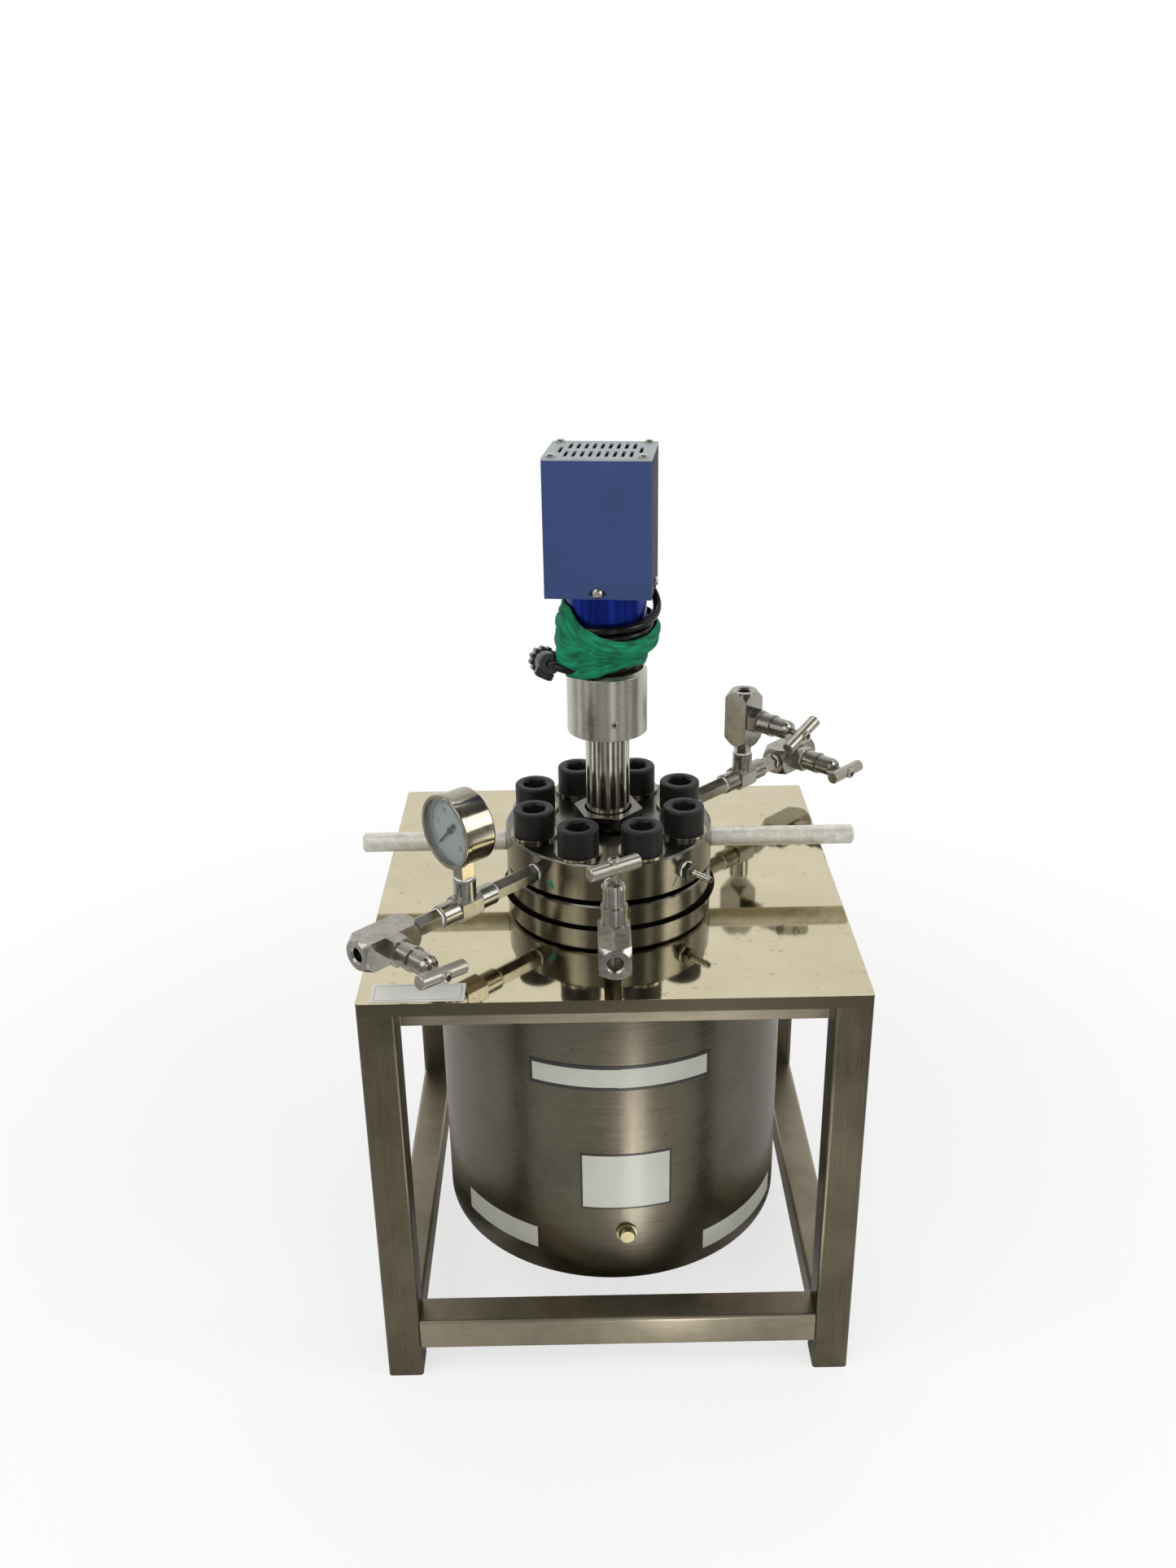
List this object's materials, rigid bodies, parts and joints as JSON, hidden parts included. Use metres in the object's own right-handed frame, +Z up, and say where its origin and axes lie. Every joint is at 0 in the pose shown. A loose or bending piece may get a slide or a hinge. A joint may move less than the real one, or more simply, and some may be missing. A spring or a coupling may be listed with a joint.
{
  "type": "high pressure reactor",
  "caption": "Bolted high pressure vessel in a round heater on a square tube stand, with an ultrasonic horn, needle valves and a gauge on its lid.",
  "frame": {"origin": "on the floor under the vessel's axis, midway between the stand's four legs", "axes": "+X to the right and -Y towards the front, where the front valve and the gauge face; +Z up along the vessel's axis"},
  "size_m": [0.4691, 0.4576, 0.7636],
  "materials": {
    "plate": "mirror polished stainless sheet",
    "stand": "satin stainless tube",
    "shell": "brushed stainless sheet",
    "wool": "ceramic wool",
    "element": "heat stained sheath",
    "well": "plain steel",
    "earth": "dull plated",
    "inlet": "moulded",
    "vessel": "turned stainless",
    "gasket": "sealing ring",
    "black_steel": "black oxide",
    "washer": "plain",
    "handle": "bead blasted",
    "horn": "polished",
    "nut": "machined",
    "coupler": "turned",
    "blue_case": "blue anodised",
    "mass_metal": "turned",
    "ceramic": "fired ceramic",
    "box_paint": "blue fine texture paint",
    "box_top": "blue grey fine texture paint",
    "box_base": "painted",
    "screw": "zinc plated",
    "grommet": "moulded",
    "cable": "glossy jacket",
    "plug": "moulded",
    "strap": "knitted green band",
    "fitting": "machined stainless",
    "gauge_metal": "polished stainless",
    "dial": "white enamel",
    "glass": "clear",
    "pointer": "black",
    "valve_body": "bar stock",
    "valve_metal": "machined and polished"
  },
  "bodies": {
    "reactor": {"top_plate": "plate", "leg_front_left": "stand", "leg_front_right": "stand", "leg_rear_left": "stand", "leg_rear_right": "stand", "lower_rails": "stand", "hanger_rails": "stand", "heater_shell": "shell", "heater_base": "shell", "heater_insulation": "wool", "heating_element": "element", "heater_well": "well", "earth_bolt": "earth", "power_inlet": "inlet", "vessel_body": "vessel", "vessel_gasket": "gasket", "vessel_lid": "vessel", "lid_bolts": "black_steel", "bolt_washers": "washer", "lifting_handle_left": "handle", "lifting_handle_right": "handle", "horn": "horn", "horn_nut": "nut", "coupler": "coupler", "transducer_case": "blue_case", "front_mass": "mass_metal", "piezo_stack": "ceramic", "back_mass": "mass_metal", "housing_sides": "box_paint", "housing_top": "box_top", "housing_base": "box_base", "housing_screws": "screw", "cable_grommet": "grommet", "cable_lead": "cable", "cable_coil": "cable", "cable_tail": "cable", "cable_plug": "plug", "cable_strap": "strap", "long_nipples": "fitting", "short_nipples": "fitting", "branch_tees": "fitting", "hose_barb": "fitting", "gauge_case": "gauge_metal", "gauge_dial": "dial", "gauge_glass": "glass", "valve_bonnets": "valve_metal", "gland_nuts": "valve_metal", "valve_body_left": "valve_body", "valve_body_front": "valve_body", "valve_body_upper": "valve_body", "valve_body_rear": "valve_body"},
    "stem_left": {"valve_stem_left": "valve_metal"},
    "handle_left": {"valve_handle_left": "valve_metal"},
    "stem_front": {"valve_stem_front": "valve_metal"},
    "handle_front": {"valve_handle_front": "valve_metal"},
    "stem_upper": {"valve_stem_upper": "valve_metal"},
    "handle_upper": {"valve_handle_upper": "valve_metal"},
    "stem_rear": {"valve_stem_rear": "valve_metal"},
    "handle_rear": {"valve_handle_rear": "valve_metal"},
    "pointer": {"gauge_pointer": "pointer"}
  },
  "joints": [
    {"name": "stem_slide_left", "type": "slide", "parent": "reactor", "child": "stem_left", "axis": [0.7071, -0.7071, 0], "range_m": [0, 0.003]},
    {"name": "handle_turn_left", "type": "hinge", "parent": "stem_left", "child": "handle_left", "pos_m": [-0.17678, -0.17678, 0.421], "axis": [0.7071, -0.7071, 0], "range_deg": [0, 1080]},
    {"name": "stem_slide_front", "type": "slide", "parent": "reactor", "child": "stem_front", "axis": [0, 0, 1], "range_m": [0, 0.003]},
    {"name": "handle_turn_front", "type": "hinge", "parent": "stem_front", "child": "handle_front", "pos_m": [0, -0.19, 0.421], "axis": [0, 0, 1], "range_deg": [0, 1080]},
    {"name": "stem_slide_upper", "type": "slide", "parent": "reactor", "child": "stem_upper", "axis": [0.7071, -0.7071, 0], "range_m": [0, 0.003]},
    {"name": "handle_turn_upper", "type": "hinge", "parent": "stem_upper", "child": "handle_upper", "pos_m": [0.13223, 0.13223, 0.4825], "axis": [0.7071, -0.7071, 0], "range_deg": [0, 1080]},
    {"name": "stem_slide_rear", "type": "slide", "parent": "reactor", "child": "stem_rear", "axis": [0.7071, -0.7071, 0], "range_m": [0, 0.003]},
    {"name": "handle_turn_rear", "type": "hinge", "parent": "stem_rear", "child": "handle_rear", "pos_m": [0.18597, 0.18597, 0.421], "axis": [0.7071, -0.7071, 0], "range_deg": [0, 1080]},
    {"name": "pointer_turn", "type": "hinge", "parent": "reactor", "child": "pointer", "pos_m": [-0.11809, -0.11809, 0.491], "axis": [0.766, 0.6428, 0], "range_deg": [0, 270]}
  ],
  "couplings": [
    {"joint": "handle_turn_left", "follows": "stem_slide_left", "rad_per_m": 6283.2},
    {"joint": "handle_turn_front", "follows": "stem_slide_front", "rad_per_m": 6283.2},
    {"joint": "handle_turn_upper", "follows": "stem_slide_upper", "rad_per_m": 6283.2},
    {"joint": "handle_turn_rear", "follows": "stem_slide_rear", "rad_per_m": 6283.2}
  ]
}
